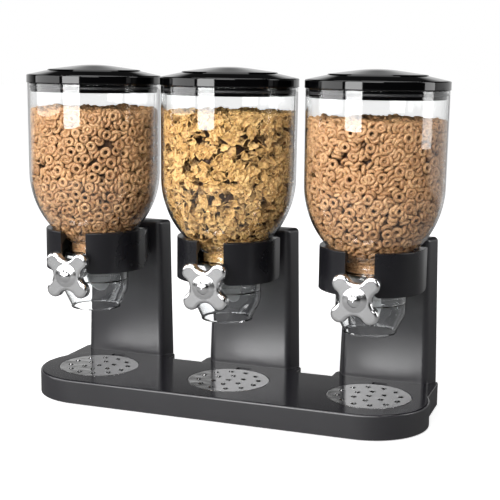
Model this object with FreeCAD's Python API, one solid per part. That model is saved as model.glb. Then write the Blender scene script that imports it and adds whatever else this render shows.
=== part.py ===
# Triple cereal dispenser: three clear canisters in round cradles on one black stand.
# A knob in front of each canister turns a paddle wheel that lets a portion down the chute.
# Millimetres, +Z up, the dispensers side by side along X, the knobs towards -Y.
# The origin is on the counter, in the middle of the object's width and depth.
import FreeCAD, Part
import math
import os

V = FreeCAD.Vector

# The row
names = ("left", "middle", "right")
spacing = 165.0

# Base
base_top = 28.5
base_end_r = 67.0
base_behind = 3.0
base_wall = 3.0
base_rim_round = 2.4
base_ceiling = 22.0
block_half = 61.0
block_rear = 98.0
block_top = 27.2
block_round = 8.0
block_edge_round = 1.2

# Bottom cover, feet and its screws
foot_stand = 1.5
foot_r = 9.0
foot_sunk = 1.0
foot_gap = 0.1
foot_bevel = 0.5
foot_clear = 2.8
foot_beyond = 20.0
cover_thick = 2.6
cover_gap = 0.3
cover_boss_gap = 0.1
cover_screw_in = 12.0
cover_screw_short = 4.0
boss_floor = 2.0

# Drip plates
plate_r = 46.8
plate_behind = 7.0
plate_thick = 1.2
plate_rim = 2.6
plate_gap = 0.4
plate_seat_gap = 0.3
plate_round = 1.0
pip_r = 3.7
pip_top_r = 1.7
pip_high = 1.1
pip_sunk = 0.1
pip_counts = (1, 6, 12)
pip_circles = (0.0, 17.5, 34.5)
finger_half = 8.5
finger_deep = 7.0
finger_reach = 8.0
finger_round = 2.0

# Columns
column_front = 78.0
column_deep = 18.0
column_wall = 2.6
column_top = 196.0
column_foot_front = 49.0
column_foot_rear = 57.5
column_head_front = 45.5
column_head_rear = 53.0
column_round = 8.0
column_edge_round = 4.5
column_roof = 3.6
column_pad_high = 16.0
column_screw = 12.0
panel_thick = 2.2
panel_gap = 0.3

# Cradles
collar_r = 56.6
collar_wall = 3.0
collar_low = 151.0
collar_high = 197.0
collar_floor = 3.0
collar_floor_r = 40.5
collar_seat = 7.0
collar_edge_round = 1.0
slot_half = 15.5
slot_round = 6.0
collar_side = 14.0
collar_side_round = 6.0
seat_relief = 1.5
arm_half = 32.0
arm_above = 5.0
arm_below = 8.0
arm_screw = 9.0

# Screws
screw_r = 1.5
screw_head_r = 3.2
screw_head_high = 1.8
screw_play = 0.1
pilot_spare = 1.0
boss_r = 4.2

# Canisters
canister_wall = 2.2
rim_flare = 0.5
rim_round = 0.6
bowl_r = 74.7
bowl_z = 262.0
bowl_straight = 100.0
bowl_arc = 97.0
neck_r = 29.7
neck_above = 20.0
seat_gap = 0.3

# Wheel chambers
chamber_r = 38.0
chamber_below = 13.0
socket_wall = 1.8
socket_high = 5.0
socket_gap = 0.2

# Chutes
chute_gap = 0.2
chute_spigot_wall = 1.6
chute_deep = 35.0
chute_taper = 21.0
chute_bend_round = 24.0
chute_mouth_r = 28.0
chute_bead = 0.9
chute_bead_high = 2.2

# Lids
lid_overhang = 0.9
lid_gap = 0.3
lid_flange_high = 9.1
lid_flange_round = 1.6
lid_edge_round = 0.8
lid_shoulder_rise = 5.0
lid_step_r = 52.0
lid_step = 1.2
lid_step_run = 0.8
lid_slope_rise = 5.0
lid_crown_r = 23.0
lid_dome_rise = 1.6
lid_wall = 2.2
plug_gap = 1.1
plug_deep = 9.7
plug_round = 0.5
plug_shelf = 1.0
seal_deep = 4.7
seal_high = 3.0
seal_thick = 1.8
seal_gap = 0.35
seal_fit = 0.05
seal_round = 0.7

# Paddle wheels and shafts
axis_z = 151.0
wheel_r = 30.0
wheel_half = 26.0
wheel_hub_r = 7.0
wheel_hub_half = 27.8
paddle_thick = 1.8
paddle_root = 1.5
paddles = 5
paddle_turn = 18.0
bearing_r = 6.6
bearing_gap = 0.3
shaft_r = 4.0
shaft_flat = 2.9
shaft_end_gap = 0.3
running_gap = 0.06
shaft_rear = 34.0

# Knobs
knob_back = 62.0
knob_thick = 10.5
knob_hub_r = 13.0
knob_hub_rise = 3.0
knob_boss_r = 7.0
knob_boss_rise = 3.2
lobe_r = 9.2
lobe_out = 22.5
knob_waist = 17.0
knob_round = 3.6
knob_back_round = 2.0
knob_socket = 12.0
rest_turn = {"left": -1.0, "middle": -3.0, "right": 1.0}

# Heights and sizes that follow
cover_screw_row = base_end_r - base_wall - cover_screw_in
foot_row = cover_screw_row - screw_head_r - foot_clear - foot_r
knob_front = knob_back + knob_thick + knob_hub_rise + knob_boss_rise
rim_r = bowl_r + rim_flare
rim_z = bowl_z + bowl_straight
neck_low = axis_z + neck_above
socket_r = neck_r + socket_gap + socket_wall
chamber_low = axis_z - chamber_below
chute_low = chamber_low - chute_deep
chute_bend_z = chute_low + chute_taper
lid_r = rim_r + lid_overhang
lid_seat = rim_z + lid_gap
lid_flange_top = lid_seat + lid_flange_high
lid_step_z = lid_flange_top + lid_shoulder_rise
lid_crown_z = lid_step_z + lid_slope_rise
lid_apex = lid_crown_z + lid_dome_rise
plug_low = lid_seat - plug_deep
seal_mid = lid_seat - seal_deep
arm_low = collar_low + arm_above
arm_high = collar_high - arm_below

# The canister axes stand this far behind the origin, which is midway between knobs and blocks.
row_y = (knob_front - block_rear) / 2


def outline(points, at=lambda a, b: V(a, b, 0)):
    """Closed wire through corners (a, b), rounded ones (a, b, radius) and arcs ("via", a, b)."""
    flat = [p for p in points if p[0] != "via"]
    count = len(flat)
    enter, leave, bends = {}, {}, {}
    for i, p in enumerate(flat):
        here = V(p[0], p[1], 0)
        enter[i] = leave[i] = here
        if len(p) == 3:
            back = (V(*flat[i - 1][:2], 0) - here).normalize()
            on = (V(*flat[(i + 1) % count][:2], 0) - here).normalize()
            half = back.getAngle(on) / 2
            run = p[2] / math.tan(half)
            centre = here + (back + on).normalize() * (p[2] / math.sin(half))
            enter[i] = here + back * run
            leave[i] = here + on * run
            bends[i] = centre + (here - centre).normalize() * p[2]
    via = {}
    corner = -1
    for p in points:
        if p[0] == "via":
            via[corner] = V(p[1], p[2], 0)
        else:
            corner += 1
    edges = []
    for i in range(count):
        if i in bends:
            edges.append(Part.Arc(at(*enter[i][:2]), at(*bends[i][:2]), at(*leave[i][:2])).toShape())
        there = enter[(i + 1) % count]
        if i in via:
            edges.append(Part.Arc(at(*leave[i][:2]), at(*via[i][:2]), at(*there[:2])).toShape())
        elif leave[i].distanceToPoint(there) > 1e-6:
            edges.append(Part.LineSegment(at(*leave[i][:2]), at(*there[:2])).toShape())
    return Part.Wire(edges)


def prism(points, low, high):
    """Upright block over a plan outline."""
    face = Part.Face(outline(points, lambda a, b: V(a, b, low)))
    return face.extrude(V(0, 0, high - low))


def across(points, near, far):
    """Block along Y over an outline in X and Z."""
    face = Part.Face(outline(points, lambda a, b: V(a, near, b)))
    return face.extrude(V(0, far - near, 0))


def turned(points):
    """Solid of revolution about the canister's axis, from an outline in radius and height."""
    face = Part.Face(outline(points, lambda a, b: V(a, 0, b)))
    return face.revolve(V(0, 0, 0), V(0, 0, 1), 360)


def rod(radius, near, far, x=0.0, z=0.0):
    """Round bar along Y."""
    return Part.makeCylinder(radius, far - near, V(x, near, z), V(0, 1, 0))


def post(radius, low, high, x, y):
    """Round bar along Z."""
    return Part.makeCylinder(radius, high - low, V(x, y, low))


def dome_point(rim, rise, top, way=1):
    """Point halfway out on a dome that rises towards way, from its rim's radius, rise and top."""
    ball = (rim ** 2 + rise ** 2) / (2 * rise)
    return "via", rim / 2, top - way * (ball - math.sqrt(ball ** 2 - (rim / 2) ** 2))


def in_row(shape, name):
    """A piece made about its canister's axis, moved to its place in the row."""
    moved = shape.copy()
    moved.translate(V((names.index(name) - 1) * spacing, row_y, 0))
    return moved


def stadium(shrink):
    """Plan of the long base with round ends, in the middle canister's axes."""
    r = base_end_r - shrink
    y0, y1, y2 = base_behind - r, base_behind, base_behind + r
    return [
        (-spacing, y0),
        (spacing, y0),
        ("via", spacing + r, y1),
        (spacing, y2),
        (-spacing, y2),
        ("via", -spacing - r, y1),
    ]


def block_plan(shrink):
    """Plan of the low block that carries a column behind the base."""
    half = block_half - shrink
    rear = block_rear - shrink
    corner = block_round - shrink
    return [(-half, base_behind), (half, base_behind), (half, rear, corner), (-half, rear, corner)]


def column_plan(front_half, rear_half, shrink, rear):
    """Plan of a column: flat front with round corners, sides splayed towards the back."""
    front = column_front + shrink
    corner = column_round - shrink
    a = front_half - shrink
    b = rear_half - shrink
    return [(-a, front, corner), (a, front, corner), (b, rear), (-b, rear)]


def bowl_radius(z, extra=0.0):
    """Outer radius of the canister's bowl at a height, moved out by extra."""
    centre = bowl_r - bowl_arc
    return centre + math.sqrt((bowl_arc + extra) ** 2 - (bowl_z - z) ** 2)


def bowl_height(radius, extra=0.0):
    """Height at which the bowl's wall, moved out by extra, has a radius."""
    centre = bowl_r - bowl_arc
    return bowl_z - math.sqrt((bowl_arc + extra) ** 2 - (radius - centre) ** 2)


def cover_screw_places():
    """Screws of the bottom cover, in the middle canister's axes."""
    places = []
    for x in (-spacing, 0.0, spacing):
        places += [(x, base_behind - cover_screw_row), (x, base_behind + cover_screw_row)]
    end = spacing + cover_screw_row
    return places + [(-end, base_behind), (end, base_behind)]


def column_screw_places():
    """Screws that hold a column's foot, about its canister's axis."""
    y = column_front + column_deep / 2
    return [(-column_foot_front / 2, y), (column_foot_front / 2, y)]


def collar_screw_places():
    """Screws that hold a cradle's arm, about its canister's axis, as x and height."""
    mid = (arm_low + arm_high) / 2
    return [(-arm_half / 2, mid), (arm_half / 2, mid)]


def foot_places():
    """Rubber feet, in the middle canister's axes."""
    out = spacing + foot_beyond
    return [(x, base_behind + y) for x in (-out, 0.0, out) for y in (-foot_row, foot_row)]


def screw(shank):
    """Pan head screw with its head under the origin and its shank up +Z."""
    head = Part.makeCylinder(screw_head_r, screw_head_high, V(0, 0, -screw_head_high))
    return head.fuse(Part.makeCylinder(screw_r, shank)).removeSplitter()


def top_edges(shape, z):
    """Edges that lie at a height."""
    level = []
    for edge in shape.Edges:
        box = edge.BoundBox
        if abs(box.ZMin - z) < 1e-4 and abs(box.ZMax - z) < 1e-4:
            level.append(edge)
    return level


def base_shell():
    """Long base, open below, with a block behind each canister and a seat for each plate."""
    body = prism(stadium(0), foot_stand, base_top)
    body = body.makeFillet(base_rim_round, top_edges(body, base_top))
    hollow = prism(stadium(base_wall), foot_stand, base_ceiling)
    for name in names:
        dx = (names.index(name) - 1) * spacing
        block = prism(block_plan(0), foot_stand, block_top)
        block = block.makeFillet(block_edge_round, top_edges(block, block_top))
        block.translate(V(dx, 0, 0))
        body = body.fuse(block)
        room = prism(block_plan(base_wall), foot_stand, base_ceiling)
        room.translate(V(dx, 0, 0))
        hollow = hollow.fuse(room)
    body = body.cut(hollow)
    for name in names:
        dx = (names.index(name) - 1) * spacing
        body = body.fuse(slot_pocket_block(dx))
        body = body.cut(plate_seat(dx))
        for x, y in column_screw_places():
            body = body.cut(post(screw_r + screw_play, base_ceiling, base_top, dx + x, y))
    for x, y in cover_screw_places():
        boss = post(boss_r, foot_stand + cover_thick, base_ceiling, x, y)
        pilot = post(screw_r + screw_play, foot_stand, base_ceiling - boss_floor, x, y)
        body = body.fuse(boss).cut(pilot)
    body.translate(V(0, row_y, 0))
    return body.removeSplitter()


def finger_slot(dx, grow):
    """Space behind a plate where a fingertip lifts its edge, grown by a wall."""
    near = plate_behind + plate_r - finger_reach / 2 - grow
    far = plate_behind + plate_r + finger_reach + grow
    half = finger_half + grow
    return prism(
        [(dx - half, near), (dx + half, near), (dx + half, far, finger_round + grow), (dx - half, far, finger_round + grow)],
        base_top - finger_deep - grow,
        base_top,
    )


def slot_pocket_block(dx):
    """Floor and walls of a finger slot, under the base's top."""
    whole = finger_slot(dx, base_wall)
    low = base_top - finger_deep - base_wall
    size = 4 * base_end_r
    return whole.common(Part.makeBox(size, size, base_ceiling - low, V(dx - size / 2, -size / 2, low)))


def plate_seat(dx):
    """Round recess for a plate, with its finger slot."""
    floor = base_top - plate_rim - plate_seat_gap
    seat = post(plate_r + plate_gap, floor, base_top, dx, plate_behind)
    return seat.fuse(finger_slot(dx, 0.0))


def base_cover():
    """Flat plate that closes the base from below, with shallow seats for the feet."""
    shrink = base_wall + cover_gap
    low, high = foot_stand, foot_stand + cover_thick - cover_boss_gap
    plate = prism(stadium(shrink), low, high)
    for name in names:
        tongue = prism(block_plan(shrink), low, high)
        tongue.translate(V((names.index(name) - 1) * spacing, 0, 0))
        plate = plate.fuse(tongue)
    for x, y in foot_places():
        plate = plate.cut(post(foot_r + foot_gap, low, low + foot_sunk, x, y))
    for x, y in cover_screw_places():
        plate = plate.cut(post(screw_r + screw_play, low, high, x, y))
        plate = plate.cut(post(screw_head_r + screw_play, low, low + screw_head_high, x, y))
    plate.translate(V(0, row_y, 0))
    return plate.removeSplitter()


def rubber_feet():
    """Six round pads let into the cover."""
    pads = []
    for x, y in foot_places():
        pad = post(foot_r, 0, foot_stand + foot_sunk, x, y + row_y)
        pads.append(pad.makeChamfer(foot_bevel, top_edges(pad, 0)))
    return Part.makeCompound(pads)


def base_screws():
    """Screws of the bottom cover."""
    made = []
    for x, y in cover_screw_places():
        one = screw(base_ceiling - foot_stand - screw_head_high - cover_screw_short)
        one.translate(V(x, y + row_y, foot_stand + screw_head_high))
        made.append(one)
    return Part.makeCompound(made)


def upright(shrink, top, rear):
    """Tapered block inside a column's outline, open ended at its foot."""
    share = (top - block_top) / (column_top - block_top)
    front_half = column_foot_front + (column_head_front - column_foot_front) * share
    rear_half = column_foot_rear + (column_head_rear - column_foot_rear) * share
    foot = outline(column_plan(column_foot_front, column_foot_rear, shrink, rear), lambda a, b: V(a, b, block_top))
    head = outline(column_plan(front_half, rear_half, shrink, rear), lambda a, b: V(a, b, top))
    return Part.makeLoft([foot, head], True, True)


def column():
    """Hollow upright, open behind and below, with pads for its screws."""
    rear = column_front + column_deep
    body = upright(0, column_top, rear)
    crown = [e for e in top_edges(body, column_top) if e.BoundBox.YMin < rear - 0.1]
    body = body.makeFillet(column_edge_round, crown)
    body = body.cut(upright(column_wall, column_top - column_roof, rear))
    for x, y in column_screw_places():
        reach = column_front + column_wall / 2
        pad = post(boss_r, block_top, block_top + column_pad_high, x, y)
        rib = Part.makeBox(2 * screw_r, y - reach, column_pad_high, V(x - screw_r, reach, block_top))
        pilot = post(screw_r + screw_play, block_top, block_top + column_screw + pilot_spare, x, y)
        body = body.fuse(pad).fuse(rib).cut(pilot)
    for x, z in collar_screw_places():
        body = body.cut(rod(screw_r + screw_play, column_front, column_front + column_wall, x, z))
    return body.removeSplitter()


def column_back():
    """Panel that closes a column behind, flush with its edges."""
    rear = column_front + column_deep
    low = block_top + panel_gap
    high = column_top - column_roof - panel_gap
    slab = Part.makeBox(4 * block_half, panel_thick, high - low, V(-2 * block_half, rear - panel_thick, low))
    return upright(column_wall + panel_gap, column_top - column_roof, rear).common(slab)


def column_screws():
    """Screws up through the blocks into the columns."""
    made = []
    for name in names:
        for x, y in column_screw_places():
            one = screw(block_top - base_ceiling + column_screw)
            one.translate(V(x, y, base_ceiling))
            made.append(in_row(one, name))
    return Part.makeCompound(made)


def collar():
    """Cradle: a half-round band with straight sides, open in front, with an arm to its column."""
    inner = collar_r - collar_wall
    seat_low = collar_high - collar_seat
    plan = [
        (-collar_r, 0),
        ("via", 0, -collar_r),
        (collar_r, 0),
        (collar_r, collar_side),
        (-collar_r, collar_side),
    ]
    band = prism(plan, collar_low, collar_high)
    band = band.makeFillet(collar_edge_round, top_edges(band, collar_high))
    side = outline(
        [
            (-collar_r, collar_low),
            (collar_side, collar_low, collar_side_round),
            (collar_side, collar_high),
            (-collar_r, collar_high),
        ],
        lambda a, b: V(-collar_r, a, b),
    )
    band = band.common(Part.Face(side).extrude(V(2 * collar_r, 0, 0)))
    arm = prism(
        [
            (-collar_r, 0),
            (collar_r, 0),
            (collar_r, collar_side),
            (arm_half, column_front),
            (-arm_half, column_front),
            (-collar_r, collar_side),
        ],
        arm_low,
        arm_high,
    )
    inside = turned([
        (0, collar_low),
        (collar_floor_r, collar_low),
        (collar_floor_r, collar_low + collar_floor),
        (inner, collar_low + collar_floor),
        (inner, seat_low - collar_seat),
        (bowl_radius(seat_low, seat_gap) + seat_relief, seat_low - seat_relief),
        (bowl_radius(seat_low, seat_gap), seat_low),
        ("via", bowl_radius(collar_high - collar_seat / 2, seat_gap), collar_high - collar_seat / 2),
        (bowl_radius(collar_high, seat_gap), collar_high),
        (0, collar_high),
    ])
    mouth = across(
        [
            (-slot_half, collar_high),
            (-slot_half, collar_low + slot_round),
            ("via", -slot_half - slot_round * (1 - math.sqrt(0.5)), collar_low + slot_round * (1 - math.sqrt(0.5))),
            (-slot_half - slot_round, collar_low),
            (slot_half + slot_round, collar_low),
            ("via", slot_half + slot_round * (1 - math.sqrt(0.5)), collar_low + slot_round * (1 - math.sqrt(0.5))),
            (slot_half, collar_low + slot_round),
            (slot_half, collar_high),
        ],
        -collar_r,
        0,
    )
    body = band.fuse(arm).cut(inside).cut(mouth)
    for x, z in collar_screw_places():
        body = body.cut(rod(screw_r + screw_play, column_front - arm_screw - pilot_spare, column_front, x, z))
    return body.removeSplitter()


def collar_screws():
    """Screws from inside the columns into the arms."""
    made = []
    for name in names:
        for x, z in collar_screw_places():
            one = screw(column_wall + arm_screw)
            one.rotate(V(0, 0, 0), V(1, 0, 0), 90)
            one.translate(V(x, column_front + column_wall, z))
            made.append(in_row(one, name))
    return Part.makeCompound(made)


def canister():
    """Clear bowl with an open neck."""
    wall = canister_wall
    neck_top = bowl_height(neck_r)
    inner_top = bowl_height(neck_r - wall, -wall)
    mid_out = (bowl_z + neck_top) / 2
    mid_in = (bowl_z + inner_top) / 2
    return turned([
        (rim_r, rim_z, rim_round),
        (bowl_r, bowl_z),
        ("via", bowl_radius(mid_out), mid_out),
        (neck_r, neck_top),
        (neck_r, neck_low),
        (neck_r - wall, neck_low),
        (neck_r - wall, inner_top),
        ("via", bowl_radius(mid_in, -wall), mid_in),
        (bowl_r - wall, bowl_z),
        (rim_r - wall, rim_z, rim_round),
    ])


def chamber():
    """Clear wheel chamber with a socket round the neck, a ledge under it and the shaft's two bearings."""
    wall = canister_wall
    shoulder = chamber_r - socket_r
    knee = neck_low - shoulder
    turn = shoulder * math.sqrt(0.5)
    turn_in = (shoulder - wall) * math.sqrt(0.5)
    socket_in = neck_r + socket_gap
    shell = turned([
        (socket_in, neck_low + socket_high),
        (socket_r, neck_low + socket_high),
        (socket_r, neck_low),
        ("via", socket_r + turn, knee + turn),
        (chamber_r, knee),
        (chamber_r, chamber_low),
        (chamber_r - wall, chamber_low),
        (chamber_r - wall, knee),
        ("via", socket_r + turn_in, knee + turn_in),
        (socket_r, neck_low - wall),
        (neck_r - wall, neck_low - wall),
        (neck_r - wall, neck_low - socket_gap),
        (socket_in, neck_low - socket_gap),
    ])
    for side in (-1, 1):
        near, far = sorted((side * (wheel_hub_half + bearing_gap), side * (chamber_r - wall / 2)))
        shell = shell.fuse(rod(bearing_r, near, far, z=axis_z))
    hole = rod(shaft_r + running_gap, -chamber_r - 1, shaft_rear + bearing_gap, z=axis_z)
    return shell.cut(hole).removeSplitter()


def chute():
    """Clear cup under the chamber, drawn in to an open mouth with a bead."""
    wall = canister_wall
    top = chamber_low - chute_gap
    spigot = chamber_r - wall - chute_gap
    spigot_top = axis_z - bearing_r - bearing_gap
    spigot_in = spigot - chute_spigot_wall
    slope = (chamber_r - chute_mouth_r) / (chute_bend_z - chute_low)
    lip = chute_low + chute_bead_high
    return turned([
        (spigot, spigot_top),
        (spigot, top),
        (chamber_r, top),
        (chamber_r, chute_bend_z, chute_bend_round),
        (chute_mouth_r + slope * chute_bead_high, lip),
        (chute_mouth_r + chute_bead, lip - chute_bead),
        (chute_mouth_r + chute_bead, chute_low),
        (chute_mouth_r - wall, chute_low),
        (chamber_r - wall, chute_bend_z, chute_bend_round - wall),
        (chamber_r - wall, top - chute_spigot_wall),
        (spigot_in, top),
        (spigot_in, spigot_top),
    ])


def lid():
    """Round lid with a low stepped crown and a plug that goes into the canister."""
    plug = rim_r - canister_wall - plug_gap
    plug_in = plug - lid_wall - plug_shelf
    groove = seal_thick + seal_gap
    face = rim_r - canister_wall - groove
    w = lid_wall
    return turned([
        (0, lid_apex),
        dome_point(lid_crown_r, lid_apex - lid_crown_z, lid_apex),
        (lid_crown_r, lid_crown_z),
        (lid_step_r, lid_step_z + lid_step),
        (lid_step_r + lid_step_run, lid_step_z),
        (lid_r, lid_flange_top, lid_flange_round),
        (lid_r, lid_seat, lid_edge_round),
        (plug, lid_seat),
        (plug, seal_mid + seal_high / 2),
        (face, seal_mid + seal_high / 2),
        (face, seal_mid - seal_high / 2),
        (plug, seal_mid - seal_high / 2),
        (plug, plug_low, plug_round),
        (plug_in, plug_low, plug_round),
        (plug_in, lid_flange_top - w),
        (lid_step_r, lid_step_z - w),
        (lid_crown_r, lid_crown_z - w),
        dome_point(lid_crown_r, lid_apex - lid_crown_z, lid_apex - w),
        (0, lid_apex - w),
    ])


def lid_seal():
    """Silicone ring in the plug's groove."""
    outer = rim_r - canister_wall - seal_gap
    low = seal_mid - seal_high / 2 + seal_fit
    high = seal_mid + seal_high / 2 - seal_fit
    inner = outer - seal_thick + seal_fit
    return turned([(inner, low), (outer, low, seal_round), (outer, high, seal_round), (inner, high)])


def flatted(radius, near, far):
    """Round bar along Y with one flat, at the wheel's axis."""
    bar = rod(radius, near, far)
    cut = Part.makeBox(4 * radius, far - near, 2 * radius, V(-2 * radius, near, shaft_flat + radius - shaft_r))
    return bar.cut(cut)


def paddle_wheel():
    """Silicone paddles with round outer corners on a hub that fits the shaft's flat."""
    wheel = rod(wheel_hub_r, -wheel_hub_half, wheel_hub_half)
    bend = math.sqrt(wheel_r ** 2 - wheel_half ** 2)
    for i in range(paddles):
        blade = Part.Face(outline(
            [
                (wheel_hub_r - paddle_root, -wheel_half),
                (bend, -wheel_half),
                ("via", wheel_r, 0.0),
                (bend, wheel_half),
                (wheel_hub_r - paddle_root, wheel_half),
            ],
            lambda a, b: V(-paddle_thick / 2, b, a),
        )).extrude(V(paddle_thick, 0, 0))
        blade.rotate(V(0, 0, 0), V(0, 1, 0), 360.0 * i / paddles + paddle_turn)
        wheel = wheel.fuse(blade)
    return wheel.cut(flatted(shaft_r + running_gap, -wheel_hub_half, wheel_hub_half)).removeSplitter()


def shaft():
    """Plastic shaft, round in its bearings, with a flat in the wheel and the knob."""
    front = -knob_back - knob_socket + shaft_end_gap
    inside = wheel_hub_half + bearing_gap / 2
    whole = rod(shaft_r, front, shaft_rear)
    for near, far in ((-inside, inside), (front, -knob_back)):
        whole = whole.common(flat_keep(near, far, front))
    return whole


def flat_keep(near, far, front):
    """Everything a shaft keeps where a flat is cut between two depths."""
    size = 4 * shaft_r
    keep = Part.makeBox(size, shaft_rear - front, size, V(-size / 2, front, -size / 2))
    return keep.cut(Part.makeBox(size, far - near, size, V(-size / 2, near, shaft_flat)))


def knob():
    """Cast knob: four round lobes drawn in at the waists, with a swelling and a boss in the middle."""
    root = math.sqrt(2)
    hollow = (lobe_out ** 2 + knob_waist ** 2 - root * lobe_out * knob_waist - lobe_r ** 2) / (
        2 * (lobe_r - knob_waist) + root * lobe_out
    )
    deep = knob_waist + hollow
    edges = []
    for i in range(4):
        lobe = math.radians(45 + 90 * i)
        waist = lobe + math.pi / 4
        centre = V(lobe_out * math.cos(lobe), 0, lobe_out * math.sin(lobe))
        after = V(deep * math.cos(waist), 0, deep * math.sin(waist))
        before = V(deep * math.cos(waist - math.pi / 2), 0, deep * math.sin(waist - math.pi / 2))
        following = V(lobe_out * math.cos(lobe + math.pi / 2), 0, lobe_out * math.sin(lobe + math.pi / 2))
        start = centre + (before - centre).normalize() * lobe_r
        end = centre + (after - centre).normalize() * lobe_r
        tip = centre + V(math.cos(lobe), 0, math.sin(lobe)) * lobe_r
        edges.append(Part.Arc(start, tip, end).toShape())
        nearest = V(knob_waist * math.cos(waist), 0, knob_waist * math.sin(waist))
        beyond = following + (after - following).normalize() * lobe_r
        edges.append(Part.Arc(end, nearest, beyond).toShape())
    plate = Part.Face(Part.Wire(edges)).extrude(V(0, -knob_thick, 0))
    plate.translate(V(0, -knob_back, 0))
    rims = {-knob_back - knob_thick: knob_round, -knob_back: knob_back_round}
    for depth, radius in rims.items():
        level = [e for e in plate.Edges if abs(e.BoundBox.YMin - depth) + abs(e.BoundBox.YMax - depth) < 1e-4]
        plate = plate.makeFillet(radius, level)
    face = -knob_back - knob_thick
    swell = face - knob_hub_rise
    middle = Part.Face(outline(
        [
            (0, face + knob_round),
            (knob_hub_r, face + knob_round),
            (knob_hub_r, face),
            dome_point(knob_hub_r, knob_hub_rise, swell, -1),
            (0, swell),
        ],
        lambda a, b: V(a, b, 0),
    )).revolve(V(0, 0, 0), V(0, 1, 0), 360)
    boss = Part.Face(outline(
        [
            (0, face),
            (knob_boss_r, face),
            (knob_boss_r, swell),
            dome_point(knob_boss_r, knob_boss_rise, -knob_front, -1),
            (0, -knob_front),
        ],
        lambda a, b: V(a, b, 0),
    )).revolve(V(0, 0, 0), V(0, 1, 0), 360)
    socket = flatted(shaft_r + running_gap, -knob_back - knob_socket, -knob_back)
    return plate.fuse(middle).fuse(boss).cut(socket).removeSplitter()


def drip_plate():
    """Pressed steel plate with a turned-down rim and rings of raised pips."""
    low = base_top - plate_rim
    dish = turned([
        (0, base_top),
        (plate_r, base_top, plate_round),
        (plate_r, low),
        (plate_r - plate_thick, low),
        (plate_r - plate_thick, base_top - plate_thick),
        (0, base_top - plate_thick),
    ])
    dish.translate(V(0, plate_behind, 0))
    for count, out in zip(pip_counts, pip_circles):
        for i in range(count):
            turn = 2 * math.pi * (i + 0.5) / count
            place = V(out * math.cos(turn), plate_behind + out * math.sin(turn), base_top - pip_sunk)
            dish = dish.fuse(Part.makeCone(pip_r, pip_top_r, pip_high + pip_sunk, place))
    return dish.removeSplitter()


def at_wheel(shape, name):
    """A piece made about the wheel's axis, turned as it rests and moved to its place."""
    moved = shape.copy()
    moved.rotate(V(0, 0, 0), V(0, 1, 0), rest_turn[name])
    moved.translate(V(0, 0, axis_z))
    return in_row(moved, name)


def export(shape, node):
    """One STEP file per piece."""
    shape.exportStep(os.path.join("parts", node + ".step"))


os.makedirs("parts", exist_ok=True)

export(base_shell(), "base_shell")
export(base_cover(), "base_cover")
export(rubber_feet(), "rubber_feet")
export(base_screws(), "base_screws")
export(column_screws(), "column_screws")
export(collar_screws(), "collar_screws")

in_dispenser = {
    "column": column(),
    "column_back": column_back(),
    "collar": collar(),
    "canister": canister(),
    "chamber": chamber(),
    "chute": chute(),
    "lid": lid(),
    "lid_seal": lid_seal(),
    "drip_plate": drip_plate(),
}
on_axis = {"paddle_wheel": paddle_wheel(), "shaft": shaft(), "knob": knob()}
for name in names:
    for piece, shape in in_dispenser.items():
        export(in_row(shape, name), piece + "_" + name)
    for piece, shape in on_axis.items():
        export(at_wheel(shape, name), piece + "_" + name)
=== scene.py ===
import bpy
import bmesh
import math
import numpy as np
from mathutils import Matrix, Quaternion, Vector, noise


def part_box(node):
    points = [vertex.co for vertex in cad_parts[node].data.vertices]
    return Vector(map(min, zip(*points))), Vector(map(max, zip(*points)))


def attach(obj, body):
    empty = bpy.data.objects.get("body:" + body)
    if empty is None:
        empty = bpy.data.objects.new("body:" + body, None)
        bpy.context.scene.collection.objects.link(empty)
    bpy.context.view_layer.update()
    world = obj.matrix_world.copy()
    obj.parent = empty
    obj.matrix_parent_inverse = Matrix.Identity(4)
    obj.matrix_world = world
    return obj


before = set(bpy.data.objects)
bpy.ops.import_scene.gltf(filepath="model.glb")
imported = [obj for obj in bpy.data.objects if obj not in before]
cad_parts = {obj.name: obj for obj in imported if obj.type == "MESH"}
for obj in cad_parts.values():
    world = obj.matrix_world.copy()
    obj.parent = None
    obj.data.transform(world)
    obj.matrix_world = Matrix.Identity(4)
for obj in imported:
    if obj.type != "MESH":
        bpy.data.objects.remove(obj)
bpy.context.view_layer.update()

# Base and its three low blocks: one long moulding of black plastic, hollow and open below.
# Its top is polished almost to a mirror, and the wall round it is satin.
# It carries everything else and stands on six feet.
mm = 0.001
base_colour = (0.0110, 0.0104, 0.0130)
base_wall_rougher = 0.33
wall_to_top = (0.2, 0.95)


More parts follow.
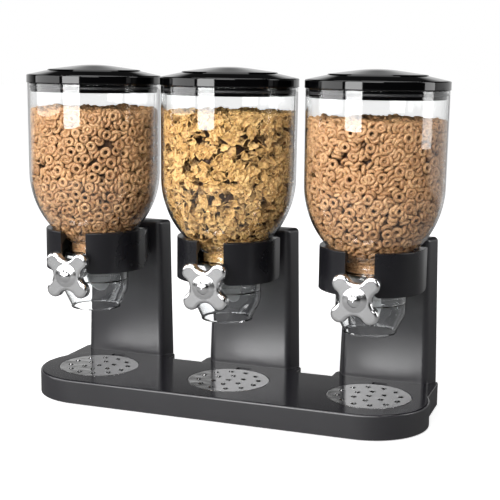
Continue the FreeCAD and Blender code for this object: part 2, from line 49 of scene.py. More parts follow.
def plastic(name, colour, roughness, spread, grain, grain_size, specular=0.5):
    """Moulded plastic: roughness and tone wander a little, and a fine grain lies on the skin."""
    cloud_size, cloud_detail, paler = 22.0, 4.0, 1.35
    grain_detail, grain_height = 2.0, 0.2 * mm
    material = bpy.data.materials.new(name)
    material.use_nodes = True
    nodes, links = material.node_tree.nodes, material.node_tree.links
    shader = nodes["Principled BSDF"]
    shader.inputs["Specular IOR Level"].default_value = specular
    place = nodes.new("ShaderNodeTexCoord")
    clouds = nodes.new("ShaderNodeTexNoise")
    clouds.inputs["Scale"].default_value = cloud_size
    clouds.inputs["Detail"].default_value = cloud_detail
    links.new(place.outputs["Object"], clouds.inputs["Vector"])
    polish = nodes.new("ShaderNodeMapRange")
    polish.inputs["To Min"].default_value = roughness
    polish.inputs["To Max"].default_value = roughness + spread
    links.new(clouds.outputs["Fac"], polish.inputs["Value"])
    links.new(polish.outputs["Result"], shader.inputs["Roughness"])
    shade = nodes.new("ShaderNodeMixRGB")
    shade.inputs["Color1"].default_value = (*colour, 1)
    shade.inputs["Color2"].default_value = (*(c * paler for c in colour), 1)
    links.new(clouds.outputs["Fac"], shade.inputs["Fac"])
    links.new(shade.outputs["Color"], shader.inputs["Base Color"])
    skin = nodes.new("ShaderNodeTexNoise")
    skin.inputs["Scale"].default_value = grain_size
    skin.inputs["Detail"].default_value = grain_detail
    links.new(place.outputs["Object"], skin.inputs["Vector"])
    bump = nodes.new("ShaderNodeBump")
    bump.inputs["Strength"].default_value = grain
    bump.inputs["Distance"].default_value = grain_height
    links.new(skin.outputs["Fac"], bump.inputs["Height"])
    links.new(bump.outputs["Normal"], shader.inputs["Normal"])
    return material


def coat(material, *names):
    """Gives CAD nodes their finish."""
    for name in names:
        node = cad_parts[name]
        if not node.material_slots:
            node.data.materials.append(material)
        for slot in node.material_slots:
            slot.material = material


base_black = plastic(
    "base_black", base_colour,
    roughness=0.10, spread=0.06, grain=0.05, grain_size=400.0, specular=1.0,
)
nodes, links = base_black.node_tree.nodes, base_black.node_tree.links
facing = nodes.new("ShaderNodeSeparateXYZ")
links.new(nodes["Texture Coordinate"].outputs["Normal"], facing.inputs["Vector"])
satin = nodes.new("ShaderNodeMapRange")
satin.inputs["From Min"].default_value, satin.inputs["From Max"].default_value = wall_to_top
satin.inputs["To Min"].default_value = base_wall_rougher
satin.inputs["To Max"].default_value = 0.0
links.new(facing.outputs["Z"], satin.inputs["Value"])
rougher = nodes.new("ShaderNodeMath")
links.new(nodes["Map Range"].outputs["Result"], rougher.inputs[0])
links.new(satin.outputs["Result"], rougher.inputs[1])
links.new(rougher.outputs[0], nodes["Principled BSDF"].inputs["Roughness"])
coat(base_black, "base_shell")

# Bottom cover: a flat sheet of plain black plastic, let into the base from below and screwed on.
# It is out of sight in use, so it keeps a matt, spark-eroded texture.
plain_black = plastic(
    "plain_black", (0.018, 0.018, 0.019),
    roughness=0.55, spread=0.15, grain=0.35, grain_size=1500.0,
)
coat(plain_black, "base_cover")

# Feet: six round pads of soft black rubber, let into shallow seats in the cover.
# They keep the stand from sliding on the counter, and their skin is dull and dusty.
foot_rubber = plastic(
    "foot_rubber", (0.022, 0.021, 0.020),
    roughness=0.78, spread=0.15, grain=0.5, grain_size=900.0, specular=0.3,
)
coat(foot_rubber, "rubber_feet")

# Screws of the cover, the columns and the cradles: steel, zinc plated and faintly blue.
# They are driven into pilot holes, and their heads lie in seats where they do not show.
screw_zinc = plastic(
    "screw_zinc", (0.55, 0.56, 0.58),
    roughness=0.28, spread=0.15, grain=0.2, grain_size=1200.0,
)
screw_zinc.node_tree.nodes["Principled BSDF"].inputs["Metallic"].default_value = 1.0
coat(screw_zinc, "base_screws", "column_screws", "collar_screws")

# Columns: hollow black uprights with a satin front that takes a grey sheen, screwed to the base.
# Panels of the same plain black as the cover close them behind.
names = ("left", "middle", "right")
column_black = plastic(
    "column_black", (0.0130, 0.0124, 0.0155),
    roughness=0.33, spread=0.06, grain=0.06, grain_size=700.0, specular=1.0,
)
for name in names:
    coat(column_black, "column_" + name)
    coat(plain_black, "column_back_" + name)

# Cradles: black plastic bands that take the canisters from above, screwed to the columns.
# Each is open in front by a slot for the knob's shaft.
cradle_black = plastic(
    "cradle_black", (0.0070, 0.0068, 0.0085),
    roughness=0.24, spread=0.08, grain=0.06, grain_size=600.0,
)
for name in names:
    coat(cradle_black, "collar_" + name)

# Drip plates: thin bright steel, pressed with rings of small round pips, laid in the base.
# The sheet is rolled, so it has a very fine grain one way and gentle waves.
grain_stretch = (0.04, 1.0, 1.0)
wave_size = 60.0
wave_strength = 0.35
wave_height = 0.6 * mm
plate_steel = plastic(
    "plate_steel", (0.80, 0.80, 0.80),
    roughness=0.09, spread=0.05, grain=0.06, grain_size=500.0,
)
nodes, links = plate_steel.node_tree.nodes, plate_steel.node_tree.links
nodes["Principled BSDF"].inputs["Metallic"].default_value = 1.0
rolled = nodes.new("ShaderNodeMapping")
rolled.inputs["Scale"].default_value = grain_stretch
waves = nodes.new("ShaderNodeTexNoise")
waves.inputs["Scale"].default_value = wave_size
waves.inputs["Detail"].default_value = 1.0
wave_bump = nodes.new("ShaderNodeBump")
wave_bump.inputs["Strength"].default_value = wave_strength
wave_bump.inputs["Distance"].default_value = wave_height
links.new(nodes["Texture Coordinate"].outputs["Object"], waves.inputs["Vector"])
links.new(nodes["Texture Coordinate"].outputs["Object"], rolled.inputs["Vector"])
links.new(rolled.outputs["Vector"], nodes["Noise Texture.001"].inputs["Vector"])
links.new(waves.outputs["Fac"], wave_bump.inputs["Height"])
links.new(wave_bump.outputs["Normal"], nodes["Bump"].inputs["Normal"])
for name in names:
    coat(plate_steel, "drip_plate_" + name)

# Canisters, wheel chambers and chutes: clear moulded plastic, which lets the lamps' light in.
# A canister's neck stands in its chamber's socket, and the chute is snapped on below.
def clear_plastic(name, tint, roughness):
    """Clear plastic, a little smeared, that casts only the shadow of its tint."""
    refraction, smear_size, smeared = 1.49, 9.0, 2.0
    material = bpy.data.materials.new(name)
    material.use_nodes = True
    nodes, links = material.node_tree.nodes, material.node_tree.links
    shader = nodes["Principled BSDF"]
    shader.inputs["Base Color"].default_value = (*tint, 1)
    shader.inputs["Transmission Weight"].default_value = 1.0
    shader.inputs["IOR"].default_value = refraction
    place = nodes.new("ShaderNodeTexCoord")
    smears = nodes.new("ShaderNodeTexNoise")
    smears.inputs["Scale"].default_value = smear_size
    links.new(place.outputs["Object"], smears.inputs["Vector"])
    polish = nodes.new("ShaderNodeMapRange")
    polish.inputs["To Min"].default_value = roughness
    polish.inputs["To Max"].default_value = roughness * smeared
    links.new(smears.outputs["Fac"], polish.inputs["Value"])
    links.new(polish.outputs["Result"], shader.inputs["Roughness"])
    path = nodes.new("ShaderNodeLightPath")
    through = nodes.new("ShaderNodeBsdfTransparent")
    through.inputs["Color"].default_value = (*tint, 1)
    either = nodes.new("ShaderNodeMixShader")
    links.new(path.outputs["Is Shadow Ray"], either.inputs["Fac"])
    links.new(shader.outputs["BSDF"], either.inputs[1])
    links.new(through.outputs["BSDF"], either.inputs[2])
    links.new(either.outputs["Shader"], nodes["Material Output"].inputs["Surface"])
    return material


canister_clear = clear_plastic("canister_clear", tint=(0.985, 0.99, 0.99), roughness=0.004)
chute_clear = clear_plastic("chute_clear", tint=(0.965, 0.975, 0.98), roughness=0.02)
for name in names:
    coat(canister_clear, "canister_" + name, "chamber_" + name)
    coat(chute_clear, "chute_" + name)

# Lids: the glossiest black pieces, moulded and polished, laid on the canisters' rims.
# Each has a plug that shows through the canister's wall.
lid_black = plastic(
    "lid_black", (0.0010, 0.0010, 0.0012),
    roughness=0.035, spread=0.03, grain=0.03, grain_size=250.0,
)
for name in names:
    coat(lid_black, "lid_" + name)

# Seals: soft black silicone rings, stretched into the grooves of the lids' plugs.
# They keep the cereal dry and hold the lids by friction.
seal_black = plastic(
    "seal_black", (0.012, 0.012, 0.013),
    roughness=0.40, spread=0.15, grain=0.10, grain_size=900.0,
)
for name in names:
    coat(seal_black, "lid_seal_" + name)

# Paddle wheels: five paddles on a hub, moulded in pale silicone, milky and slightly see-through.
# Each sits on a flatted shaft of plain black plastic, which turns in the chamber's bearings.
glow_depth = 4 * mm
silicone = plastic(
    "silicone", (0.62, 0.63, 0.63),
    roughness=0.38, spread=0.15, grain=0.10, grain_size=600.0,
)
milky = silicone.node_tree.nodes["Principled BSDF"]
milky.inputs["Subsurface Weight"].default_value = 0.35
milky.inputs["Subsurface Radius"].default_value = (glow_depth, glow_depth, glow_depth)
for name in names:
    coat(silicone, "paddle_wheel_" + name)
    coat(plain_black, "shaft_" + name)

# Knobs: die-cast and chromed, four full lobes that run into a domed middle.
# They are pushed onto the shafts and turn the wheels.
chrome = plastic(
    "chrome", (0.80, 0.80, 0.805),
    roughness=0.17, spread=0.05, grain=0.04, grain_size=120.0,
)
chrome.node_tree.nodes["Principled BSDF"].inputs["Metallic"].default_value = 1.0
for name in names:
    coat(chrome, "knob_" + name)

# Loops: toasted oat rings, baked, plump and a little uneven. They fill the outer two canisters
# nearly to the lids and run down the necks to the wheels.
# They are poured in loose and lie as they fell.
row_y = (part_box("canister_middle")[0][1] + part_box("canister_middle")[1][1]) / 2
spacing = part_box("canister_right")[0][0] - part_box("canister_middle")[0][0]
hub = np.array((0, 0, 151 * mm))
wheel_reach = 30.6 * mm
neck_in = 27.3 * mm
bowl_in = 72.3 * mm
bowl_z = 262.0 * mm
bowl_arc = 94.8 * mm
fill_low = 158 * mm
loop_fills = (("left", 333.5 * mm), ("right", 331 * mm))
loop_r = 3.95 * mm
loop_thick = 2.05 * mm
loop_touch = 1.95 * mm
loop_layer = 13 * mm
loop_core = 11 * mm
loop_points = 9
loop_rounds = 90
ripple = 2.2
painted_shade_reach = 13 * mm


def wall_radius(z):
    """Inner radius of a canister at a height: upright wall, rounded bottom, neck."""
    below = np.clip(bowl_z - z, 0, bowl_arc)
    return np.maximum(bowl_in - bowl_arc + np.sqrt(bowl_arc ** 2 - below ** 2), neck_in)


def heap_top(points, fill):
    """Height of a heap's uneven top over given places: dimples, and folds that run slantwise."""
    x, y = points[..., 0], points[..., 1]
    dimples = np.sin(118 * x + 1.0) * np.cos(97 * y)
    folds = np.sin(61 * x - 143 * y + fill * 900)
    return fill + (dimples + folds) * ripple * mm


def heap_skin(fill):
    """Steps up the wall and in over the top of a heap: radius, height, way inwards, length."""
    step = 1.0 * mm
    z = np.arange(fill_low, fill, step)
    lean = (wall_radius(z + step) - wall_radius(z - step)) / (2 * step)
    length = np.sqrt(1 + lean ** 2)
    wall = np.c_[wall_radius(z), z, -1 / length, lean / length, length]
    r = np.arange(step, bowl_in, step)
    one = np.ones(len(r))
    top = np.c_[r, np.full(len(r), fill), np.zeros(len(r)), -one, one]
    return np.concatenate((wall, top))


def scattered(fill, deep, each, rng):
    """Places in a heap's outer layer, as many as its volume holds, with random turns."""
    filled = 0.92
    skin = heap_skin(fill)
    area = 2 * math.pi * skin[:, 0] * skin[:, 4] * mm
    count = int(area.sum() * deep * filled / each)
    pick = rng.choice(len(skin), count, p=area / area.sum())
    turn = rng.uniform(0, 2 * math.pi, count)
    r, z, inr, inz = skin[pick, :4].T
    inward = np.c_[inr * np.cos(turn), inr * np.sin(turn), inz]
    below = rng.uniform(0.1, 1, count)[:, None]
    points = np.c_[r * np.cos(turn), r * np.sin(turn), z] + inward * below * deep
    four = rng.normal(size=(count, 4))
    four /= np.linalg.norm(four, axis=1)[:, None]
    return points, inward, np.array([Quaternion(q).to_matrix() for q in four])


def near_pairs(points, reach):
    """Pairs of points closer than a reach, found through a grid of cells."""
    cell = np.floor(points / reach).astype(np.int64)
    cell -= cell.min(0) - 1
    size = cell.max(0) + 2
    key = (cell[:, 0] * size[1] + cell[:, 1]) * size[2] + cell[:, 2]
    order = np.argsort(key, kind="stable")
    keys = key[order]
    firsts, seconds = [], []
    for dx, dy, dz in ((x, y, z) for x in (0, 1) for y in (-1, 0, 1) for z in (-1, 0, 1)):
        step = (dx * size[1] + dy) * size[2] + dz
        if step < 0:
            continue
        start = np.searchsorted(keys, key + step, "left")
        found = np.searchsorted(keys, key + step, "right") - start
        a = np.repeat(np.arange(len(points)), found)
        within = np.arange(len(a)) - np.repeat(np.cumsum(found) - found, found)
        b = order[np.repeat(start, found) + within]
        keep = ((points[a] - points[b]) ** 2).sum(1) < reach ** 2
        if step == 0:
            keep &= a < b
        firsts.append(a[keep])
        seconds.append(b[keep])
    return np.concatenate(firsts), np.concatenate(seconds)


def settle(places, inward, ways, samples, thick, fill, rounds):
    """Pushes stiff pieces apart and to the wall until they lie without running into each other."""
    eager, drift, sink, tiny = 1.3, 0.16, 0.5, 1e-9
    count, per = samples.shape[:2]
    owner = np.repeat(np.arange(count), per)
    for turn in range(rounds):
        flat = (places[:, None, :] + np.einsum("nij,nkj->nki", ways, samples)).reshape(-1, 3)
        a, b = near_pairs(flat, 2 * thick)
        other = owner[a] != owner[b]
        a, b = a[other], b[other]
        gap = flat[b] - flat[a]
        far = np.linalg.norm(gap, axis=1) + tiny
        shove = gap * ((2 * thick - far) / (2 * far))[:, None]
        push = np.stack([
            np.bincount(b, shove[:, k], len(flat)) - np.bincount(a, shove[:, k], len(flat))
            for k in range(3)
        ], 1)
        hits = np.bincount(a, minlength=len(flat)) + np.bincount(b, minlength=len(flat))
        flat = flat + push * (eager / np.maximum(hits, 1))[:, None]
        calm = 1 - turn / rounds
        flat -= np.repeat(inward, per, 0) * drift * mm * calm
        r = np.hypot(flat[:, 0], flat[:, 1]) + tiny
        room = wall_radius(flat[:, 2]) - thick
        flat[:, :2] *= np.minimum(room / r, 1)[:, None]
        over = np.maximum(flat[:, 2] - heap_top(flat, fill) + thick, 0)
        flat[:, 2] = np.maximum(flat[:, 2] - sink * over, fill_low)
        away = flat - hub
        close = np.linalg.norm(away, axis=1) + tiny
        flat = hub + away * np.maximum((wheel_reach + thick) / close, 1)[:, None]
        flat = flat.reshape(count, per, 3)
        places = flat.mean(1)
        lean = np.einsum("nki,nkj->nij", flat - places[:, None, :], samples)
        u, _, vt = np.linalg.svd(lean)
        u[:, :, 2] *= np.sign(np.linalg.det(u @ vt))[:, None]
        ways = u @ vt
    return places, ways


def loop_meshes():
    """Four uneven oat loops, each turned from a small round section."""
    lump_size, lump_high, wider = 260, 0.40, 0.05
    noise.seed_set(1)
    made = []
    for kind in range(4):
        bm = bmesh.new()
        ring = bmesh.ops.create_circle(bm, segments=6, radius=loop_thick)["verts"]
        bmesh.ops.rotate(bm, matrix=Matrix.Rotation(math.pi / 2, 3, "X"), verts=ring)
        bmesh.ops.translate(bm, vec=(loop_r, 0, 0), verts=ring)
        bmesh.ops.spin(
            bm, geom=bm.verts[:] + bm.edges[:], cent=(0, 0, 0), axis=(0, 0, 1),
            angle=2 * math.pi, steps=12, use_merge=True,
        )
        bmesh.ops.remove_doubles(bm, verts=bm.verts[:], dist=0.01 * mm)
        shift = Vector((7.3 * kind, 0, 0))
        for v in bm.verts:
            v.co += noise.noise_vector(v.co * lump_size + shift) * lump_high * mm
            v.co.x *= 1.0 + wider * (kind - 1.5)
        bmesh.ops.recalc_face_normals(bm, faces=bm.faces[:])
        for face in bm.faces:
            face.smooth = True
        mesh = bpy.data.meshes.new("loop_shape")
        bm.to_mesh(mesh)
        bm.free()
        made.append(mesh)
    return made


def pour(label, shapes, kinds, places, ways, sizes, rng, material, body, place, fill):
    """Copies shapes to their places as one piece, each with its own tone, and painted shade that
    darkens it deep inside the heap and weakens down the neck.
    """
    neck_painted_shade_fade, least_painted_shade = 60 * mm, 0.3
    bm = bmesh.new()
    counts = []
    for kind, spot, way, size in zip(kinds, places, ways, sizes):
        copy = shapes[kind].copy()
        turned = Matrix.Translation(Vector(spot)) @ Matrix(way).to_4x4()
        copy.transform(turned @ Matrix.Scale(float(size), 4))
        counts.append(len(copy.vertices))
        bm.from_mesh(copy)
        bpy.data.meshes.remove(copy)
    mesh = bpy.data.meshes.new(label)
    bm.to_mesh(mesh)
    bm.free()
    flat = np.array([v.co for v in mesh.vertices])
    # Painted shade: a depth value darkens pieces towards the inside of the heap. It is weakened
    # near the bottom of the neck, so the neck reads lighter.
    inside = wall_radius(flat[:, 2]) - np.hypot(flat[:, 0], flat[:, 1])
    painted_shade_depth = np.clip(np.minimum(inside, heap_top(flat, fill) - flat[:, 2]) / painted_shade_reach, 0, 1)
    painted_shade_depth *= np.clip((flat[:, 2] - fill_low) / neck_painted_shade_fade, least_painted_shade, 1)
    mesh.transform(Matrix.Translation(place))
    tones = np.repeat(rng.uniform(0, 1, len(counts)), counts)
    tone = mesh.attributes.new("tone", "FLOAT", "POINT")
    tone.data.foreach_set("value", tones.astype(np.float32))
    deep = mesh.attributes.new("painted_shade_depth", "FLOAT", "POINT")
    deep.data.foreach_set("value", painted_shade_depth.astype(np.float32))
    piece = bpy.data.objects.new(label, mesh)
    bpy.context.scene.collection.objects.link(piece)
    mesh.materials.append(material)
    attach(piece, body)


def baked(name, pale, deep, dark, speckle, bump_height):
    """Baked cereal: each piece has its own tone, with toasted specks and a rough skin, and painted
    shade towards a shadow brown deep in the heap.
    """
    painted_shadow_brown = (0.045, 0.017, 0.007)
    speck_span, speck_most = (0.46, 0.70), 0.85
    painted_shade_span, painted_shade_most = (0.18, 0.80), 0.85
    material = bpy.data.materials.new(name)
    material.use_nodes = True
    nodes, links = material.node_tree.nodes, material.node_tree.links
    shader = nodes["Principled BSDF"]
    shader.inputs["Subsurface Weight"].default_value = 0.10
    shader.inputs["Subsurface Radius"].default_value = (1.6 * mm, 0.9 * mm, 0.4 * mm)
    place = nodes.new("ShaderNodeTexCoord")
    tone = nodes.new("ShaderNodeAttribute")
    tone.attribute_name = "tone"
    blend = nodes.new("ShaderNodeMixRGB")
    blend.inputs["Color1"].default_value = (*pale, 1)
    blend.inputs["Color2"].default_value = (*deep, 1)
    links.new(tone.outputs["Fac"], blend.inputs["Fac"])
    specks = nodes.new("ShaderNodeTexNoise")
    specks.inputs["Scale"].default_value = speckle
    specks.inputs["Detail"].default_value = 3.0
    links.new(place.outputs["Object"], specks.inputs["Vector"])
    sharp = nodes.new("ShaderNodeMapRange")
    sharp.inputs["From Min"].default_value, sharp.inputs["From Max"].default_value = speck_span
    sharp.inputs["To Max"].default_value = speck_most
    links.new(specks.outputs["Fac"], sharp.inputs["Value"])
    toast = nodes.new("ShaderNodeMixRGB")
    toast.inputs["Color2"].default_value = (*dark, 1)
    links.new(sharp.outputs["Result"], toast.inputs["Fac"])
    links.new(blend.outputs["Color"], toast.inputs["Color1"])
    # Painted shade: the depth attribute mixes the colour towards a shadow brown inside the heap.
    painted_shade_depth = nodes.new("ShaderNodeAttribute")
    painted_shade_depth.attribute_name = "painted_shade_depth"
    painted_shade_amount = nodes.new("ShaderNodeMapRange")
    painted_shade_amount.inputs["From Min"].default_value, painted_shade_amount.inputs["From Max"].default_value = painted_shade_span
    painted_shade_amount.inputs["To Max"].default_value = painted_shade_most
    links.new(painted_shade_depth.outputs["Fac"], painted_shade_amount.inputs["Value"])
    shade = nodes.new("ShaderNodeMixRGB")
    shade.inputs["Color2"].default_value = (*painted_shadow_brown, 1)
    links.new(painted_shade_amount.outputs["Result"], shade.inputs["Fac"])
    links.new(toast.outputs["Color"], shade.inputs["Color1"])
    links.new(shade.outputs["Color"], shader.inputs["Base Color"])
    rough = nodes.new("ShaderNodeMapRange")
    rough.inputs["To Min"].default_value = 0.45
    rough.inputs["To Max"].default_value = 0.75
    links.new(specks.outputs["Fac"], rough.inputs["Value"])
    links.new(rough.outputs["Result"], shader.inputs["Roughness"])
    bump = nodes.new("ShaderNodeBump")
    bump.inputs["Strength"].default_value = 0.7
    bump.inputs["Distance"].default_value = bump_height
    links.new(specks.outputs["Fac"], bump.inputs["Height"])
    links.new(bump.outputs["Normal"], shader.inputs["Normal"])
    return material


def heap_core(label, fill, inset, material, body, place):
    """The inside of a heap: a dark solid of painted shade, seen only in the gaps between the pieces
    at the wall.
    """
    low, rise, least = 190 * mm, 7 * mm, 5 * mm
    bm = bmesh.new()
    line = [bm.verts.new((0, 0, low))]
    for z in np.arange(low, fill - inset, rise):
        line.append(bm.verts.new((max(float(wall_radius(z)) - inset, least), 0, z)))
    line.append(bm.verts.new((line[-1].co.x, 0, fill - inset)))
    line.append(bm.verts.new((0, 0, fill - inset)))
    for a, b in zip(line, line[1:]):
        bm.edges.new((a, b))
    bmesh.ops.spin(
        bm, geom=bm.verts[:] + bm.edges[:], cent=(0, 0, 0), axis=(0, 0, 1),
        angle=2 * math.pi, steps=72, use_merge=True,
    )
    bmesh.ops.remove_doubles(bm, verts=bm.verts[:], dist=0.05 * mm)
    bmesh.ops.recalc_face_normals(bm, faces=bm.faces[:])
    bmesh.ops.translate(bm, vec=place, verts=bm.verts[:])
    for face in bm.faces:
        face.smooth = True
    mesh = bpy.data.meshes.new(label)
    bm.to_mesh(mesh)
    bm.free()
    piece = bpy.data.objects.new(label, mesh)
    bpy.context.scene.collection.objects.link(piece)
    mesh.materials.append(material)
    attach(piece, body)


loop_oat = baked(
    "loop_oat", pale=(0.47, 0.275, 0.130), deep=(0.32, 0.165, 0.068), dark=(0.16, 0.065, 0.025),
    speckle=700.0, bump_height=0.4 * mm,
)
# Painted shade: the heap's inside is coloured dark brown to stand for the shade between the pieces.
heap_painted_shade = baked(
    "heap_painted_shade", pale=(0.10, 0.045, 0.018), deep=(0.06, 0.028, 0.010), dark=(0.03, 0.012, 0.006),
    speckle=160.0, bump_height=2 * mm,
)
loops = loop_meshes()
loop_turns = np.arange(loop_points) * 2 * math.pi / loop_points
loop_line = np.c_[np.cos(loop_turns), np.sin(loop_turns), np.zeros(loop_points)] * loop_r
loop_room = 2 * math.pi ** 2 * loop_r * loop_thick ** 2 / 0.60
for name, fill in loop_fills:
    rng = np.random.default_rng(names.index(name) + 11)
    place = Vector(((names.index(name) - 1) * spacing, row_y, 0))
    spots, inward, ways = scattered(fill, loop_layer, loop_room, rng)
    sizes = rng.uniform(0.93, 1.07, len(spots))
    samples = loop_line[None] * sizes[:, None, None]
    spots, ways = settle(spots, inward, ways, samples, loop_touch, fill, loop_rounds)
    kinds = rng.integers(len(loops), size=len(spots))
    for part in range(2):
        own = slice(part, None, 2)
        pour(
            "loops_%s_%d" % (name, part), loops, kinds[own], spots[own], ways[own], sizes[own],
            rng, loop_oat, "canister_" + name, place, fill,
        )
    heap_core("heap_" + name, fill, loop_core, heap_painted_shade, "canister_" + name, place)

# Flakes: toasted maize, rolled thin, curled and blistered, 8 to 20 mm across.
# They fill the middle canister, crisp and loose, and lie over each other like leaves.
flake_fill = 335 * mm
flake_layer = 17 * mm
flake_core = 16 * mm
flake_room = 560e-9
flake_touch = 0.75 * mm
flake_rounds = 80


def flake_meshes():
    """Ten curled flakes with ragged outlines, and the points at which each meets its neighbours."""
    thickness = 0.09
    made, points = [], []
    for kind in range(10):
        bm = bmesh.new()
        bmesh.ops.create_circle(bm, cap_ends=True, segments=8, radius=1.0)
        bmesh.ops.poke(bm, faces=bm.faces[:])
        bmesh.ops.subdivide_edges(bm, edges=bm.edges[:], cuts=1, use_grid_fill=True)
        shift = Vector((3.1 * kind, 1.7 * kind, 0.9 * kind))
        for v in bm.verts:
            far = v.co.length
            bays = noise.noise(v.co * 2.1 + shift) * 0.55 + noise.noise(v.co * 6.3 + shift) * 0.35
            v.co.xy = v.co.xy * (1 + bays * far)
            v.co.x *= 0.66 + 0.06 * (kind % 4)
            curl = (0.75 - 0.16 * (kind % 4)) * v.co.x ** 2
            twist = 0.45 * v.co.y * v.co.x
            saddle = 0.22 * (kind % 3) * v.co.y ** 2
            waves = 0.30 * noise.noise(v.co * 2.4 + shift * 2)
            blisters = 0.16 * noise.noise(v.co * 6.1 + shift * 3)
            v.co.z = curl + twist - saddle + waves + blisters
        middle = sum((v.co for v in bm.verts), Vector()) / len(bm.verts)
        bmesh.ops.translate(bm, vec=-middle, verts=bm.verts[:])
        points.append(np.array([v.co for v in bm.verts]))
        bmesh.ops.recalc_face_normals(bm, faces=bm.faces[:])
        bmesh.ops.solidify(bm, geom=bm.faces[:], thickness=thickness)
        bmesh.ops.recalc_face_normals(bm, faces=bm.faces[:])
        mesh = bpy.data.meshes.new("flake_shape")
        bm.to_mesh(mesh)
        bm.free()
        made.append(mesh)
    return made, np.array(points)


flake_gold = baked(
    "flake_gold", pale=(0.62, 0.40, 0.155), deep=(0.45, 0.26, 0.080), dark=(0.22, 0.10, 0.03),
    speckle=330.0, bump_height=1 * mm,
)
flakes, flake_points = flake_meshes()
rng = np.random.default_rng(5)
place = Vector((0, row_y, 0))
spots, inward, ways = scattered(flake_fill, flake_layer, flake_room, rng)
sizes = rng.uniform(4.2, 9.0, len(spots)) * mm
kinds = rng.integers(len(flakes), size=len(spots))
samples = flake_points[kinds] * sizes[:, None, None]
spots, ways = settle(spots, inward, ways, samples, flake_touch, flake_fill, flake_rounds)
for part in range(2):
    own = slice(part, None, 2)
    pour(
        "flakes_%d" % part, flakes, kinds[own], spots[own], ways[own], sizes[own],
        rng, flake_gold, "canister_middle", place, flake_fill,
    )
heap_core("heap_middle", flake_fill, flake_core, heap_painted_shade, "canister_middle", place)

# Studio: a pale floor that fades into a white surround, and soft lamps, none of it part of the
# dispenser. The white shows directly and straight through clear walls; gloss mirrors a dim one.
floor_reach = 14.0
floor_grey = (0.22, 0.22, 0.22)
floor_white = (0.80, 0.80, 0.80)
floor_mirrored_behind = (0.5, 1.2)
floor_fades = (0.35, 0.80)
surround_edge = (0.20, 0.30)


def reckon(nodes, links, operation, first, second):
    """One value worked out of two."""
    node = nodes.new("ShaderNodeMath")
    node.operation = operation
    links.new(first, node.inputs[0])
    links.new(second, node.inputs[1])
    return node.outputs[0]


def straight_sight(nodes, links):
    """One for what is seen directly or straight through clear walls, with the node that tells."""
    path = nodes.new("ShaderNodeLightPath")
    gloss, scatter = path.outputs["Glossy Depth"], path.outputs["Diffuse Depth"]
    bounces = reckon(nodes, links, "ADD", gloss, scatter)
    clean = nodes.new("ShaderNodeMath")
    clean.operation = "LESS_THAN"
    clean.inputs[1].default_value = 0.5
    links.new(bounces, clean.inputs[0])
    clear = path.outputs["Is Transmission Ray"]
    through = reckon(nodes, links, "MULTIPLY", clear, clean.outputs[0])
    return path, reckon(nodes, links, "MAXIMUM", path.outputs["Is Camera Ray"], through)


floor_mesh = bpy.data.meshes.new("floor")
bm = bmesh.new()
bmesh.ops.create_grid(bm, x_segments=1, y_segments=1, size=floor_reach)
bm.to_mesh(floor_mesh)
bm.free()
floor = bpy.data.objects.new("floor", floor_mesh)
bpy.context.scene.collection.objects.link(floor)
pale = bpy.data.materials.new("pale_floor")
pale.use_nodes = True
nodes, links = pale.node_tree.nodes, pale.node_tree.links
matt = nodes["Principled BSDF"]
tone = nodes.new("ShaderNodeMixRGB")
tone.inputs["Color1"].default_value = (*floor_grey, 1)
tone.inputs["Color2"].default_value = (*floor_white, 1)
links.new(tone.outputs["Color"], matt.inputs["Base Color"])
matt.inputs["Roughness"].default_value = 0.9
matt.inputs["Specular IOR Level"].default_value = 0.1
path, seen = straight_sight(nodes, links)
links.new(seen, tone.inputs["Fac"])
place = nodes.new("ShaderNodeTexCoord")
split = nodes.new("ShaderNodeSeparateXYZ")
links.new(place.outputs["Object"], split.inputs["Vector"])
behind = nodes.new("ShaderNodeMapRange")
behind.interpolation_type = "SMOOTHSTEP"
behind.inputs["From Min"].default_value = floor_mirrored_behind[0]
behind.inputs["From Max"].default_value = floor_mirrored_behind[1]
behind.inputs["To Max"].default_value = 0.5
links.new(split.outputs["Y"], behind.inputs["Value"])
gloss = path.outputs["Is Glossy Ray"]
mirrored = reckon(nodes, links, "MULTIPLY", gloss, behind.outputs["Result"])
shown = reckon(nodes, links, "MAXIMUM", seen, mirrored)
far = nodes.new("ShaderNodeVectorMath")
far.operation = "LENGTH"
links.new(place.outputs["Object"], far.inputs[0])
fade = nodes.new("ShaderNodeMapRange")
fade.interpolation_type = "SMOOTHSTEP"
fade.inputs["From Min"].default_value, fade.inputs["From Max"].default_value = floor_fades
fade.inputs["To Min"].default_value = 0.62
links.new(far.outputs["Value"], fade.inputs["Value"])
lift = reckon(nodes, links, "MULTIPLY", shown, fade.outputs["Result"])
matt.inputs["Emission Color"].default_value = (1, 1, 1, 1)
links.new(lift, matt.inputs["Emission Strength"])
floor_mesh.materials.append(pale)

world = bpy.data.worlds.new("studio")
bpy.context.scene.world = world
world.use_nodes = True
nodes, links = world.node_tree.nodes, world.node_tree.links
sky = nodes["Background"]
sky.inputs["Color"].default_value = (1, 1, 1, 1)
way = nodes.new("ShaderNodeTexCoord")
split = nodes.new("ShaderNodeSeparateXYZ")
links.new(way.outputs["Generated"], split.inputs["Vector"])
band = nodes.new("ShaderNodeMapRange")
band.inputs["From Min"].default_value, band.inputs["From Max"].default_value = surround_edge
band.inputs["To Min"].default_value = 0.8
band.inputs["To Max"].default_value = 0.015
links.new(split.outputs["Z"], band.inputs["Value"])
behind = nodes.new("ShaderNodeMapRange")
behind.inputs["From Min"].default_value = 0.0
behind.inputs["From Max"].default_value = 0.5
behind.inputs["To Min"].default_value = 0.02
links.new(split.outputs["Y"], behind.inputs["Value"])
backdrop = reckon(nodes, links, "MULTIPLY", band.outputs["Result"], behind.outputs["Result"])
path, seen = straight_sight(nodes, links)
strength = reckon(nodes, links, "MAXIMUM", seen, backdrop)
links.new(strength, sky.inputs["Strength"])

view_azimuth = math.radians(19.49)
aim = Vector((0, 0, 0.22))


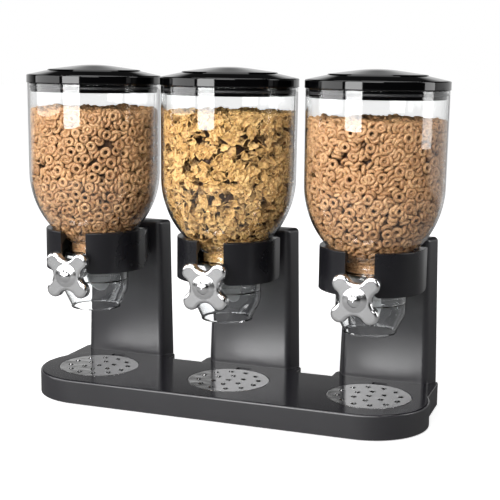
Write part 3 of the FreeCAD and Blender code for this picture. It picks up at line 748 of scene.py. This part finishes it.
def softbox(name, azimuth, distance, low, high, width, power):
    """Upright soft lamp at an azimuth from the camera's side, facing the object."""
    lamp = bpy.data.lights.new(name, "AREA")
    lamp.shape = "RECTANGLE"
    lamp.size = width
    lamp.size_y = high - low
    lamp.energy = power
    turn = view_azimuth + math.radians(azimuth)
    out = Vector((math.sin(turn), -math.cos(turn), 0))
    place = out * distance + Vector((0, 0, (low + high) / 2))
    flat = Vector((aim.x - place.x, aim.y - place.y, 0))
    facing = flat.to_track_quat("-Z", "Y").to_matrix().to_4x4()
    holder = bpy.data.objects.new(name, lamp)
    holder.matrix_world = Matrix.Translation(place) @ facing
    bpy.context.scene.collection.objects.link(holder)


softbox("key", azimuth=-37, distance=1.5, low=0.22, high=1.5, width=0.74, power=27)
softbox("fill", azimuth=-81, distance=1.4, low=0.26, high=1.3, width=1.3, power=11)
softbox("side", azimuth=78, distance=1.4, low=0.21, high=1.3, width=0.45, power=6)
softbox("front", azimuth=-6, distance=1.3, low=0.55, high=1.15, width=0.7, power=8)
overhead = bpy.data.lights.new("overhead", "AREA")
overhead.shape = "RECTANGLE"
overhead.size = 1.6
overhead.size_y = 1.2
overhead.energy = 15
holder = bpy.data.objects.new("overhead", overhead)
holder.matrix_world = Matrix.Translation((0, -0.25, 1.6))
bpy.context.scene.collection.objects.link(holder)

# Camera: where the photograph was taken from, in front and to the right of the dispenser.
# It looks slightly down, so that the lids show nearly edge-on.
camera_place = (433.36 * mm, -1150.05 * mm + row_y, 386.76 * mm)
looks_down = 9.51
leans = 0.81
camera_data = bpy.data.cameras.new("camera")
camera_data.sensor_width = 36.0
camera_data.lens = 80.14
camera = bpy.data.objects.new("camera", camera_data)
camera.matrix_world = (
    Matrix.Translation(camera_place)
    @ Matrix.Rotation(view_azimuth, 4, "Z")
    @ Matrix.Rotation(math.radians(90 - looks_down), 4, "X")
    @ Matrix.Rotation(math.radians(leans), 4, "Z")
)
bpy.context.scene.collection.objects.link(camera)
bpy.context.scene.camera = camera
bpy.context.scene.view_settings.view_transform = "Standard"
